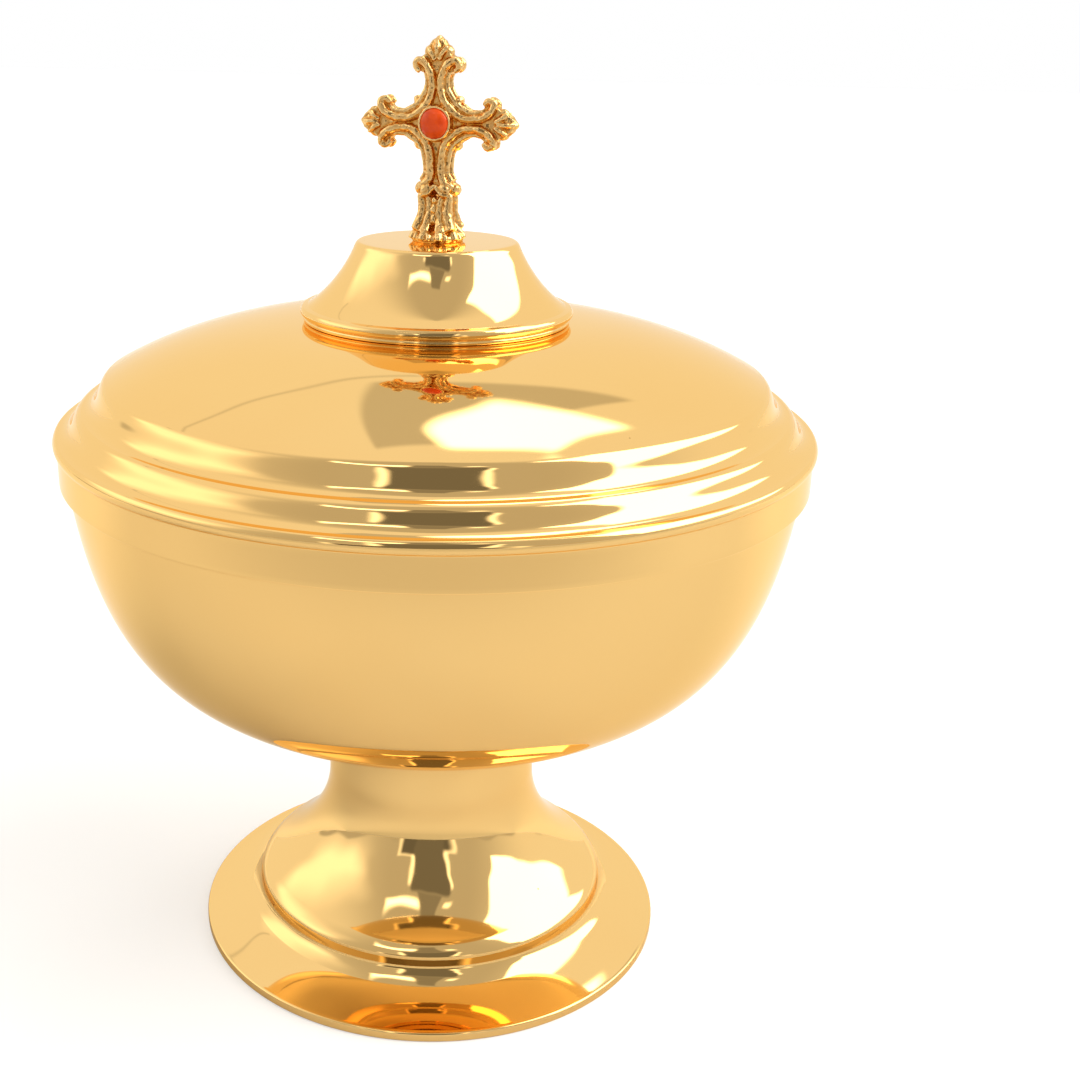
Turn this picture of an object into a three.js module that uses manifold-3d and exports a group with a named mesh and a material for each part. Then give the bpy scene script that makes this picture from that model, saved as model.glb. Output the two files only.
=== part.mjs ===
// A footed ciborium with a lift-off lid: a spun cup on a spun foot, and a stepped lid that
// carries a flared finial base and a cast cross with one red stone.
// Millimetres, +Z up. The origin is the middle of the foot's underside, and the cross faces -Y.

import * as THREE from 'three';
import { mergeVertices } from 'three/addons/utils/BufferGeometryUtils.js';
import Module from 'manifold-3d';

const wasm = await Module();
wasm.setup();

// Sides of the large spun shells and of the small turned pieces
const SHELL_SIDES = 36;
const SMALL_SIDES = 24;

// Clearance between pieces that touch or screw together
const CLEARANCE = 0.3;

// Foot, from the rim inward and upward
const FOOT_SHEET = 1.0;
const FOOT_RADIUS = 40.3;
const RIM_HEIGHT = 1.7;
const RIM_ROUND = 0.5;
const RIM_FOLD = 2.8;
const FLANGE_WIDTH = 8.1;
const FLANGE_RISE = 2.75;
const COVE_WIDTH = 1.9;
const COVE_HEIGHT = 2.5;
const BAND_HEIGHT = 1.62;
const ROLL_WIDTH = 2.1;
const ROLL_HEIGHT = 2.18;
const BELL_HEIGHT = 17.65;
const NECK_RADIUS = 17.9;
const NECK_HEIGHT = 14.34;
const NECK_WAIST = 0.3;
const CREST_WIDTH = 2.9;
const CREST_ROUND = 0.9;
const SEAT_DEPTH = 2.4;

// Cup
const BOWL_SHEET = 1.0;
const BOWL_RADIUS = 58.9;
const BOWL_DEPTH = 41.5;
const BOWL_WALL = 6.0;
const BOWL_RIM_ROUND = 0.4;

// Stud under the cup, with its washer and nut
const BOWL_STUD_RADIUS = 3.0;
const BOWL_STUD_DISC_MARGIN = 3.3;
const BOWL_STUD_END = 1.6;
const BOWL_STUD_CHAMFER = 0.6;
const FOOT_WASHER_RADIUS = 9.0;
const FOOT_WASHER_THICKNESS = 1.2;
const FOOT_NUT_FLATS = 10.0;
const FOOT_NUT_HEIGHT = 5.0;

// Lid, from the skirt inward and upward
const LID_SHEET = 0.9;
const SKIRT_DEPTH = 6.3;
const BEAD_PROUD = 0.55;
const BEAD_HEIGHT = 2.0;
const LOWER_STEP_WIDTH = 4.1;
const LOWER_STEP_HEIGHT = 3.5;
const UPPER_STEP_WIDTH = 4.0;
const UPPER_STEP_HEIGHT = 4.5;
const DOME_RISE = 8.2;
const DOME_POWER = 3.3;

// Flared base of the finial
const FLARE_SHEET = 0.8;
const FLARE_RADIUS = 20.9;
const FLARE_HEIGHT = 12.3;
const FLARE_TOP_RADIUS = 12.7;
const FLARE_TOP_ROUND = 0.8;
const FLARE_BEAD_PROUD = 0.7;
const FLARE_BEAD_HEIGHT = 2.4;

// Cast cross, measured from its foot
const CROSS_THICKNESS = 3.4;
const CROSS_BEVEL = 0.6;
const CROSS_ARM_HEIGHT = 17.4;
const CROSS_ARM_LENGTH = 12.7;
const CROSS_TOP_LENGTH = 12.6;
const CROSS_TOP_NARROWING = 0.92;
const ARM_WAIST = 1.6;
const ARM_LOBE = 3.6;
const SHAFT_HALF_WIDTH = 2.0;
const KNOT_HALF_WIDTH = 3.5;
const KNOT_HEIGHT = 7.5;
const CROSS_NECK_RADIUS = 2.55;
const CROSS_FOOT_RADIUS = 4.6;
const CROSS_FOOT_HEIGHT = 3.6;

// Stone and its setting
const STONE_RADIUS = 2.2;
const STONE_HEIGHT = 1.5;
const STONE_SUNK = 0.7;
const SETTING_WALL = 0.5;
const SETTING_PROUD = 0.8;
const SETTING_CHAMFER = 0.25;

// Stud in the cross, with its washer and nut under the dome
const FINIAL_STUD_RADIUS = 1.5;
const FINIAL_STUD_REACH = 5.0;
const FINIAL_STUD_END = 1.0;
const FINIAL_WASHER_RADIUS = 5.5;
const FINIAL_WASHER_THICKNESS = 0.8;
const FINIAL_NUT_FLATS = 5.5;
const FINIAL_NUT_HEIGHT = 2.4;

// Heights of the foot, from the ground
const bellBase = RIM_HEIGHT + FLANGE_RISE + COVE_HEIGHT + BAND_HEIGHT + ROLL_HEIGHT;
const neckBase = bellBase + BELL_HEIGHT;
const footTop = neckBase + NECK_HEIGHT;
const seatTop = footTop - SEAT_DEPTH;

// Radii of the foot
const creaseRadius = FOOT_RADIUS - FLANGE_WIDTH;
const bandRadius = creaseRadius - COVE_WIDTH;
const bellRadius = bandRadius - ROLL_WIDTH;
const crestRadius = NECK_RADIUS + NECK_WAIST;
const seatRadius = crestRadius - CREST_WIDTH;
const bowlStudHole = BOWL_STUD_RADIUS + CLEARANCE;

// Radii of the lid
const skirtRadius = BOWL_RADIUS + CLEARANCE + LID_SHEET;
const lowerStepRadius = skirtRadius - LOWER_STEP_WIDTH;
const domeRadius = lowerStepRadius - UPPER_STEP_WIDTH;
const finialStudHole = FINIAL_STUD_RADIUS + CLEARANCE;

// Heights of the lid, from the underside of the ledge that rests on the cup's rim
const lowerStepTop = LID_SHEET + LOWER_STEP_HEIGHT;
const domeEdge = lowerStepTop + UPPER_STEP_HEIGHT;
const domeTop = domeEdge + DOME_RISE;
const domeHeight = (r) => domeTop - DOME_RISE * (r / domeRadius) ** DOME_POWER;

const at = (r, z) => new THREE.Vector2(r, z);

// Points along a cubic curve, without its first point
function curve(from, pullFrom, pullTo, to, steps) {
  return new THREE.CubicBezierCurve(from, pullFrom, pullTo, to).getPoints(steps).slice(1);
}

// Points round a corner, without the first point
function corner(from, tip, to, steps) {
  return new THREE.QuadraticBezierCurve(from, tip, to).getPoints(steps).slice(1);
}

// A line moved to its left by the sheet thickness, mitred at each corner
function inset(line, thickness) {
  const leftOf = (a, b) => at(a.y - b.y, b.x - a.x).normalize();
  return line.map((point, i) => {
    const before = i > 0 ? leftOf(line[i - 1], point) : leftOf(point, line[i + 1]);
    const after = i < line.length - 1 ? leftOf(point, line[i + 1]) : before;
    const mitre = before.clone().add(after).normalize();
    const moved = point.clone().addScaledVector(mitre, thickness / mitre.dot(before));
    if (point.x === 0) moved.x = 0;
    return moved;
  });
}

// A turned solid, from an outline that closes on itself or runs from axis to axis
function turned(outline, sides) {
  return new THREE.LatheGeometry(outline, sides).rotateX(Math.PI / 2);
}

// A turned solid whose axis points to the front, from radii and distances in front
function frontTurned(outline) {
  return new THREE.LatheGeometry(outline, SMALL_SIDES).rotateX(Math.PI);
}

// A flat ring that stands on its own ground, or a disc where the inner radius is zero
function ring(inner, outer, height) {
  const outline = [at(inner, 0), at(outer, 0), at(outer, height), at(inner, height)];
  if (inner > 0) outline.push(at(inner, 0));
  return turned(outline, SMALL_SIDES);
}

// A hexagonal nut with a round bore
function hexNut(flats, bore, height) {
  const reach = flats / Math.sqrt(3);
  const corners = Array.from({ length: 6 }, (_, i) => {
    const angle = (i * Math.PI) / 3;
    return at(reach * Math.cos(angle), reach * Math.sin(angle));
  });
  const shape = new THREE.Shape(corners);
  shape.holes.push(new THREE.Path().absarc(0, 0, bore, 0, 2 * Math.PI, true));
  const settings = { depth: height, bevelEnabled: false, curveSegments: SMALL_SIDES / 2 };
  return new THREE.ExtrudeGeometry(shape, settings);
}

// A closed mesh as a solid for joining and cutting, and back
function toSolid(geometry) {
  const bare = geometry.clone();
  bare.deleteAttribute('normal');
  bare.deleteAttribute('uv');
  const merged = mergeVertices(bare, 1e-4);
  return new wasm.Manifold(new wasm.Mesh({
    numProp: 3,
    vertProperties: new Float32Array(merged.attributes.position.array),
    triVerts: new Uint32Array(merged.index.array),
  }));
}

function fromSolid(solid) {
  const mesh = solid.getMesh();
  const geometry = new THREE.BufferGeometry();
  geometry.setAttribute('position', new THREE.BufferAttribute(mesh.vertProperties, 3));
  geometry.setIndex(new THREE.BufferAttribute(mesh.triVerts, 1));
  return geometry;
}

// Foot outline from the rim to the neck: dished flange, cove, upright band, roll, flared bell
function footLine() {
  const rim = at(FOOT_RADIUS - RIM_ROUND, RIM_HEIGHT);
  const dish = at(FOOT_RADIUS - 0.65 * FLANGE_WIDTH, RIM_HEIGHT + 0.38 * FLANGE_RISE);
  const crease = at(creaseRadius, RIM_HEIGHT + FLANGE_RISE);
  const bandLow = at(bandRadius, crease.y + COVE_HEIGHT);
  const bandHigh = at(bandRadius, bandLow.y + BAND_HEIGHT);
  const bell = at(bellRadius, bellBase);
  const bellRun = bellRadius - NECK_RADIUS;
  return [
    rim,
    ...corner(rim, dish, crease, 4),
    ...curve(
      crease,
      at(creaseRadius - 0.53 * COVE_WIDTH, crease.y + 0.34 * COVE_HEIGHT),
      at(bandRadius + 0.04 * COVE_WIDTH, bandLow.y - 0.32 * COVE_HEIGHT),
      bandLow,
      4,
    ),
    bandHigh,
    ...curve(
      bandHigh,
      at(bandRadius - 0.02 * ROLL_WIDTH, bandHigh.y + 0.22 * ROLL_HEIGHT),
      at(bellRadius + 0.56 * ROLL_WIDTH, bellBase - 0.37 * ROLL_HEIGHT),
      bell,
      4,
    ),
    ...curve(
      bell,
      at(bellRadius - 0.5 * bellRun, bellBase + 0.36 * bellRun),
      at(NECK_RADIUS, neckBase - 0.78 * bellRun),
      at(NECK_RADIUS, neckBase),
      9,
    ),
    at(NECK_RADIUS - NECK_WAIST, neckBase + 0.4 * NECK_HEIGHT),
  ];
}

// Foot shell: its rim folded under, its crest rolled over a dished seat for the cup's stud
function footGeometry() {
  const side = footLine();
  const seat = [at(seatRadius, seatTop), at(bowlStudHole, seatTop)];
  const low = footTop - CREST_ROUND;
  const rolled = [
    at(crestRadius, low),
    at(crestRadius - 0.3 * CREST_ROUND, footTop - 0.3 * CREST_ROUND),
    at(crestRadius - CREST_ROUND, footTop),
    at(seatRadius + CREST_ROUND, footTop),
    at(seatRadius + 0.3 * CREST_ROUND, footTop - 0.3 * CREST_ROUND),
    at(seatRadius, low),
  ];
  const square = [at(crestRadius, footTop), at(seatRadius, footTop)];
  const outer = [...side, ...rolled, ...seat];
  const foldRadius = FOOT_RADIUS - RIM_FOLD;
  const under = inset([...side, ...square, ...seat], FOOT_SHEET);
  const inner = under.filter((point) => point.x < foldRadius).reverse();
  const fold = [
    at(foldRadius, 0),
    at(FOOT_RADIUS - RIM_ROUND, 0),
    at(FOOT_RADIUS, RIM_ROUND),
    at(FOOT_RADIUS, RIM_HEIGHT - RIM_ROUND),
  ];
  return turned([...outer, ...inner, ...fold, outer[0]], SHELL_SIDES);
}

// Cup outline from its lowest point to its rim: a deep round bowl, then a short straight wall
function bowlLine() {
  const bottom = at(0, 0);
  return [
    bottom,
    ...curve(
      bottom,
      at(0.63 * BOWL_RADIUS, 0),
      at(0.925 * BOWL_RADIUS, 0.09 * BOWL_DEPTH),
      at(BOWL_RADIUS, BOWL_DEPTH),
      15,
    ),
    at(BOWL_RADIUS, BOWL_DEPTH + BOWL_WALL - BOWL_RIM_ROUND),
  ];
}

function bowlGeometry() {
  const side = bowlLine();
  const rim = at(BOWL_RADIUS - BOWL_SHEET / 2, BOWL_DEPTH + BOWL_WALL);
  return turned([...side, rim, ...inset(side, BOWL_SHEET).reverse()], SHELL_SIDES);
}

// Height of the cup's outside over its lowest point, at a radius
function bowlRise(radius) {
  const side = bowlLine();
  const i = side.findIndex((point) => point.x > radius);
  const share = (radius - side[i - 1].x) / (side[i].x - side[i - 1].x);
  return side[i - 1].y + share * (side[i].y - side[i - 1].y);
}

// Heights of the cup and of the pieces that hold it on its foot
const bowlBase = footTop + CLEARANCE - bowlRise(seatRadius + CREST_ROUND);
const bowlRim = bowlBase + BOWL_DEPTH + BOWL_WALL;
const studDiscBase = seatTop + CLEARANCE;
const footWasherBase = seatTop - FOOT_SHEET - CLEARANCE - FOOT_WASHER_THICKNESS;
const footNutBase = footWasherBase - CLEARANCE - FOOT_NUT_HEIGHT;

// Stud under the cup, from the underside of its disc
function bowlStudGeometry() {
  const discRadius = seatRadius - BOWL_STUD_DISC_MARGIN;
  const discTop = bowlBase - CLEARANCE - studDiscBase;
  const end = footNutBase - BOWL_STUD_END - studDiscBase;
  return turned([
    at(0, end),
    at(BOWL_STUD_RADIUS - BOWL_STUD_CHAMFER, end),
    at(BOWL_STUD_RADIUS, end + BOWL_STUD_CHAMFER),
    at(BOWL_STUD_RADIUS, 0),
    at(discRadius, 0),
    at(discRadius, discTop),
    at(0, discTop),
  ], SMALL_SIDES);
}

// One step of the lid: a flat tread that sweeps up into a round riser
function lidStep(from, to) {
  const width = from.x - to.x;
  const rise = to.y - from.y;
  const treadPull = at(from.x - 0.76 * width, from.y + 0.03 * rise);
  const riserPull = at(from.x - 0.56 * width, from.y + 0.84 * rise);
  return curve(from, treadPull, riserPull, to, 6);
}

// Lid shell: skirt with a bead, two steps and a low dome with a hole for the finial's stud
function lidGeometry() {
  const ledge = at(skirtRadius, LID_SHEET);
  const lowerTop = at(lowerStepRadius, lowerStepTop);
  const domeStart = at(domeRadius, domeEdge);
  const domeSteps = 8;
  const dome = Array.from({ length: domeSteps }, (_, i) => {
    const r = domeRadius + ((finialStudHole - domeRadius) * (i + 1)) / domeSteps;
    return at(r, domeHeight(r));
  });
  const top = [ledge, ...lidStep(ledge, lowerTop), ...lidStep(lowerTop, domeStart), ...dome];
  const skirtFoot = at(skirtRadius, -SKIRT_DEPTH);
  const bead = [0, 0.25, 0.5, 0.75].map((share) => at(
    skirtRadius + BEAD_PROUD * Math.sin(Math.PI * share) ** 0.7,
    LID_SHEET - BEAD_HEIGHT * (1 - share),
  ));
  const inner = inset([skirtFoot, ...top], LID_SHEET).reverse();
  return turned([skirtFoot, ...bead, ...top, ...inner, skirtFoot], SHELL_SIDES);
}

// Finial base: a flared spun cap on a bead, closed on top but for the stud's hole
function finialBaseGeometry() {
  const foot = at(FLARE_RADIUS, 0);
  const flareStart = at(FLARE_RADIUS - 0.5, FLARE_BEAD_HEIGHT);
  const flareEnd = at(FLARE_TOP_RADIUS + 0.4 * FLARE_TOP_ROUND, FLARE_HEIGHT - FLARE_TOP_ROUND);
  const rise = flareEnd.y - flareStart.y;
  const run = flareStart.x - flareEnd.x;
  const flare = [
    flareStart,
    ...curve(
      flareStart,
      at(flareStart.x - 0.25 * run, flareStart.y + 0.12 * rise),
      at(flareEnd.x + 0.27 * run, flareStart.y + 0.49 * rise),
      flareEnd,
      7,
    ),
    at(FLARE_TOP_RADIUS - 0.6 * FLARE_TOP_ROUND, FLARE_HEIGHT),
    at(finialStudHole, FLARE_HEIGHT),
  ];
  const bead = [[0.3, 0.15], [0, 0.3], [0.85, 0.45], [1, 0.65], [0.75, 0.85]].map(
    ([proud, height]) => at(
      FLARE_RADIUS + proud * FLARE_BEAD_PROUD,
      height * FLARE_BEAD_HEIGHT,
    ),
  );
  const inner = inset([foot, ...flare], FLARE_SHEET);
  inner[0].y = 0;
  return turned([foot, ...bead, ...flare, ...inner.reverse(), foot], SHELL_SIDES);
}

// Half of one leafed arm end, as distance along the arm and half width
function armEnd() {
  const lobe = 0.68 * CROSS_ARM_LENGTH;
  return new THREE.SplineCurve([
    at(0.36 * CROSS_ARM_LENGTH, ARM_WAIST),
    at(lobe - 1.9, 0.55 * ARM_LOBE),
    at(lobe - 0.4, 0.97 * ARM_LOBE),
    at(lobe + 0.9, 0.9 * ARM_LOBE),
    at(lobe + 1.6, 0.56 * ARM_LOBE),
    at(CROSS_ARM_LENGTH - 0.7, 0.42 * ARM_LOBE),
    at(CROSS_ARM_LENGTH, 0.15 * ARM_LOBE),
  ]).getPoints(10);
}

// Right half of the cross in front view, from its foot to its top
function crossSide() {
  const shaft = new THREE.SplineCurve([
    at(CROSS_NECK_RADIUS, 0.5 * CROSS_FOOT_HEIGHT),
    at(CROSS_NECK_RADIUS, CROSS_FOOT_HEIGHT + 1.2),
    at(KNOT_HALF_WIDTH, KNOT_HEIGHT),
    at(SHAFT_HALF_WIDTH + 0.3, KNOT_HEIGHT + 2.0),
    at(SHAFT_HALF_WIDTH, KNOT_HEIGHT + 4.0),
    at(SHAFT_HALF_WIDTH + 0.4, CROSS_ARM_HEIGHT - 3.9),
  ]).getPoints(12);
  const end = armEnd();
  const stretch = CROSS_TOP_LENGTH / CROSS_ARM_LENGTH;
  return [
    ...shaft,
    ...end.map((p) => at(p.x, CROSS_ARM_HEIGHT - p.y)),
    ...end.map((p) => at(p.x, CROSS_ARM_HEIGHT + p.y)).reverse(),
    ...end.map((p) => at(CROSS_TOP_NARROWING * p.y, CROSS_ARM_HEIGHT + p.x * stretch)),
  ];
}

// Distances in front of the cross's middle plane
const settingFace = CROSS_THICKNESS / 2 + SETTING_PROUD;
const stoneSeat = settingFace - STONE_SUNK;

// Cast cross: leafed arms, a knot on the shaft, a round flared foot and a setting in front
function crossGeometry() {
  const side = crossSide();
  const outline = new THREE.Shape([...side, ...side.map((p) => at(-p.x, p.y)).reverse()]);
  const body = new THREE.ExtrudeGeometry(outline, {
    depth: CROSS_THICKNESS - 2 * CROSS_BEVEL,
    bevelThickness: CROSS_BEVEL,
    bevelSize: CROSS_BEVEL,
    bevelOffset: -CROSS_BEVEL,
    bevelSegments: 2,
  });
  body.translate(0, 0, CROSS_BEVEL - CROSS_THICKNESS / 2).rotateX(Math.PI / 2);
  const foot = turned([
    at(0, 0),
    at(CROSS_FOOT_RADIUS, 0),
    at(CROSS_FOOT_RADIUS, 0.25 * CROSS_FOOT_HEIGHT),
    at(0.92 * CROSS_FOOT_RADIUS, 0.5 * CROSS_FOOT_HEIGHT),
    at(0.72 * CROSS_FOOT_RADIUS, 0.8 * CROSS_FOOT_HEIGHT),
    at(CROSS_NECK_RADIUS, 1.1 * CROSS_FOOT_HEIGHT),
    at(CROSS_NECK_RADIUS, FINIAL_STUD_REACH + 1.0),
    at(0.5 * CROSS_NECK_RADIUS, FINIAL_STUD_REACH + 1.8),
    at(0, FINIAL_STUD_REACH + 1.8),
  ], SMALL_SIDES);
  const settingRadius = STONE_RADIUS + CLEARANCE + SETTING_WALL;
  const setting = frontTurned([
    at(0, 0),
    at(settingRadius, 0),
    at(settingRadius, settingFace - SETTING_CHAMFER),
    at(settingRadius - SETTING_CHAMFER, settingFace),
    at(0, settingFace),
  ]).translate(0, 0, CROSS_ARM_HEIGHT);
  const stoneRecess = frontTurned([
    at(0, stoneSeat - CLEARANCE),
    at(STONE_RADIUS + CLEARANCE, stoneSeat - CLEARANCE),
    at(STONE_RADIUS + CLEARANCE, settingFace + 1),
    at(0, settingFace + 1),
  ]).translate(0, 0, CROSS_ARM_HEIGHT);
  const studHole = ring(0, finialStudHole, 1 + FINIAL_STUD_REACH + CLEARANCE).translate(0, 0, -1);
  return fromSolid(
    toSolid(body)
      .add(toSolid(foot))
      .add(toSolid(setting))
      .subtract(toSolid(stoneRecess))
      .subtract(toSolid(studHole)),
  );
}

// Red stone: a low cabochon with a flat back
function stoneGeometry() {
  const shoulder = 0.35 * STONE_HEIGHT;
  const crown = STONE_HEIGHT - shoulder;
  const dome = Array.from({ length: 6 }, (_, i) => {
    const angle = (i * Math.PI) / 12;
    return at(STONE_RADIUS * Math.cos(angle), shoulder + crown * Math.sin(angle));
  });
  return frontTurned([at(0, 0), at(STONE_RADIUS, 0), ...dome, at(0, STONE_HEIGHT)]);
}

// Heights in the lid's own frame
const flareBase = domeHeight(FLARE_RADIUS) + CLEARANCE;
const crossBase = flareBase + FLARE_HEIGHT + CLEARANCE;
const finialWasherBase = domeTop - LID_SHEET - CLEARANCE - FINIAL_WASHER_THICKNESS;
const finialNutBase = finialWasherBase - CLEARANCE - FINIAL_NUT_HEIGHT;
const finialStudBase = finialNutBase - FINIAL_STUD_END;
const finialStudLength = crossBase + FINIAL_STUD_REACH - finialStudBase;

const gold = new THREE.MeshStandardMaterial({ color: 0xe9bb62, roughness: 0.12, metalness: 1 });
const castGold = new THREE.MeshStandardMaterial({ color: 0xd99a35, roughness: 0.3, metalness: 1 });
const redStone = new THREE.MeshStandardMaterial({ color: 0xd24a1c, roughness: 0.1, metalness: 0 });
const brass = new THREE.MeshStandardMaterial({ color: 0xb9934a, roughness: 0.4, metalness: 1 });

function addPiece(group, name, geometry, material, height) {
  const mesh = new THREE.Mesh(geometry, material);
  mesh.name = name;
  mesh.position.z = height;
  group.add(mesh);
  return mesh;
}

// Cup on its foot, with the hidden stud, washer and nut that hold them together
function cup() {
  const group = new THREE.Group();
  const washer = ring(bowlStudHole, FOOT_WASHER_RADIUS, FOOT_WASHER_THICKNESS);
  const nut = hexNut(FOOT_NUT_FLATS, bowlStudHole, FOOT_NUT_HEIGHT);
  addPiece(group, 'foot_shell', footGeometry(), gold, 0);
  addPiece(group, 'bowl_shell', bowlGeometry(), gold, bowlBase);
  addPiece(group, 'bowl_stud', bowlStudGeometry(), brass, studDiscBase);
  addPiece(group, 'foot_washer', washer, brass, footWasherBase);
  addPiece(group, 'foot_nut', nut, brass, footNutBase);
  return group;
}

// Cross with its stone, on its own foot
function cross() {
  const group = new THREE.Group();
  addPiece(group, 'finial_cross', crossGeometry(), castGold, 0);
  const stone = addPiece(group, 'red_stone', stoneGeometry(), redStone, CROSS_ARM_HEIGHT);
  stone.position.y = -stoneSeat;
  return group;
}

// Lid with its finial, and the hidden stud, washer and nut that hold the finial
function lid() {
  const group = new THREE.Group();
  const stud = ring(0, FINIAL_STUD_RADIUS, finialStudLength);
  const washer = ring(finialStudHole, FINIAL_WASHER_RADIUS, FINIAL_WASHER_THICKNESS);
  const nut = hexNut(FINIAL_NUT_FLATS, finialStudHole, FINIAL_NUT_HEIGHT);
  addPiece(group, 'lid_shell', lidGeometry(), gold, 0);
  addPiece(group, 'finial_base', finialBaseGeometry(), gold, flareBase);
  addPiece(group, 'finial_stud', stud, brass, finialStudBase);
  addPiece(group, 'finial_washer', washer, brass, finialWasherBase);
  addPiece(group, 'finial_nut', nut, brass, finialNutBase);
  const crossGroup = cross();
  crossGroup.position.z = crossBase;
  group.add(crossGroup);
  return group;
}

const ciborium = new THREE.Group();
const lidGroup = lid();
lidGroup.position.z = bowlRim + CLEARANCE;
ciborium.add(cup(), lidGroup);

export default ciborium;
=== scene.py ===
"""A gilt footed ciborium with its lid and cross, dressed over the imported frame.

Sizes named here are in millimetres, and MM turns them into the frame's metres.
Scales and distances inside a shader, and the lamp's place, are in metres.
"""

import math

import bpy
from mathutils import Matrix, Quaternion, Vector, noise


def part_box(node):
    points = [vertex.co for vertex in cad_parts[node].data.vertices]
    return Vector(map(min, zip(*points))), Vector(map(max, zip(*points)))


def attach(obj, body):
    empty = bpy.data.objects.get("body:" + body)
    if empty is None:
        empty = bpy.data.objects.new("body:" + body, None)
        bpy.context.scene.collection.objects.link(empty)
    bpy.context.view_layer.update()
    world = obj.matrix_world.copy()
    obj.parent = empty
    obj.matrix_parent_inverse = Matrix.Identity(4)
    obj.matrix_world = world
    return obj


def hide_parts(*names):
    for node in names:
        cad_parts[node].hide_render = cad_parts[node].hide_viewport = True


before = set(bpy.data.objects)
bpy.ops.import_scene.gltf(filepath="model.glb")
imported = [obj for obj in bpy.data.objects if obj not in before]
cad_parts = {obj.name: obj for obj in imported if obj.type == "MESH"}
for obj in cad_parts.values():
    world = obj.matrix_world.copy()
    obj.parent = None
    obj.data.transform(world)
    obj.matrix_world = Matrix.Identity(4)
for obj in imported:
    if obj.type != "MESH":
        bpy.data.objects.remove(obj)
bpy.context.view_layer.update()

MM = 0.001
SHELL_SIDES = 192
SHELL_STEP = 0.7
SMALL_SIDES = 64
SEAT_GAP = 0.3

# Camera, as fitted to the outlines in the photograph
CAMERA_AZIMUTH = math.radians(19)
CAMERA_DISTANCE = 227.5
CAMERA_HEIGHT = 151.5
CAMERA_PITCH = math.radians(19.72)
CAMERA_ROLL = math.radians(0.687)
CAMERA_LENS = 47.96
SENSOR_WIDTH = 36
IMAGE_WIDTH = 1080
AXIS_COLUMN = 433.9

# Foot
FOOT_SHEET = 1.0
RIM_HEIGHT = 1.7
RIM_ROUND = 0.5
RIM_FOLD = 2.8
FLANGE_WIDTH = 8.1
FLANGE_RISE = 2.75
COVE_WIDTH = 1.9
COVE_HEIGHT = 2.5
BAND_HEIGHT = 1.62
ROLL_WIDTH = 2.1
ROLL_HEIGHT = 2.18
BELL_HEIGHT = 17.65
NECK_RADIUS = 17.9
NECK_WAIST = 0.3
CREST_WIDTH = 2.9
CREST_ROUND = 0.9
SEAT_DEPTH = 2.4
STUD_HOLE_CLEARANCE = 0.3

# Cup
BOWL_SHEET = 1.0
BOWL_WALL = 6.0

# Lid
LID_SHEET = 0.9
BEAD_PROUD = 0.55
BEAD_HEIGHT = 2.0
SKIRT_DEPTH = 6.3
LOWER_STEP_WIDTH = 4.1
LOWER_STEP_HEIGHT = 3.5
UPPER_STEP_WIDTH = 4.0
UPPER_STEP_HEIGHT = 4.5
DOME_POWER = 3.3
DOME_LIFT = 0.28

# Flared base of the finial
FLARE_SHEET = 0.8
FLARE_TOP_RADIUS = 12.7
FLARE_TOP_ROUND = 0.8
FLARE_SHOULDER = 0.5
FLARE_BEAD_PROUD = 0.7
FLARE_BEAD_HEIGHT = 2.4
FLARE_SMALL_BEAD = 0.3

# Cross, with heights from the middle of its arms, and the setting of its stone
ARM_HEIGHT = 17.4
ARM_LENGTH = 12.7
TOP_LENGTH = 12.6
PLATE_DEPTH = 1.0
SETTING_RADIUS = 2.38
SETTING_FRONT = 2.2
BED_RADIUS = 2.6
BED_DEPTH = 0.95
CAST_VOXEL = 0.14
SLOW_GRAIN = 0.10
FINE_GRAIN = 0.05

# Fasteners
STUD_PITCH = 0.8
FINIAL_PITCH = 0.5
NUT_EDGE = 0.3
WASHER_ROUND = 0.2

# Room and floor
ROOM_FRONT = 0.58
ROOM_BACK = 0.98
ROOM_COLOR = (1.0, 0.985, 0.955, 1.0)
ROOM_WAVES = 2.4
ROOM_WAVE_REACH = 0.3
FLOOR_REACH = 4000
FLOOR_COLOR = (0.60, 0.595, 0.58, 1.0)
# Painted shade: a darker floor colour in front of the object, towards the camera
FLOOR_PAINTED_SHADE_AHEAD = (0.46, 0.455, 0.44, 1.0)
FLOOR_LIFT = 0.42
# Painted light: the floor glows in the metal's reflections of it
FLOOR_GLOW = 0.20

# Colours, as linear red, green and blue
METAL_EDGE = (1.0, 0.90, 0.70, 1)
GILT = (0.960, 0.635, 0.248, 1)
GILT_CLOUD = (0.950, 0.612, 0.228, 1)
GILT_PIT = (0.42, 0.22, 0.06, 1)
# The deeper orange of the casting's hollows is painted shade
CAST_PAINTED_SHADE = (0.62, 0.24, 0.025, 1)
CAST_HIGH = (0.97, 0.68, 0.30, 1)
BRASS = (0.60, 0.42, 0.17, 1)
BRASS_STAIN = (0.46, 0.30, 0.11, 1)
STONE = (0.80, 0.080, 0.006, 1)
STONE_VEIN = (0.70, 0.060, 0.005, 1)

# Relief of the surfaces
SHEET_DENTS = 0.045
SPINNING_RINGS = 0.0008
CAST_GRAIN = 0.012
BRASS_TOOLING = 0.006


# Camera


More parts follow.
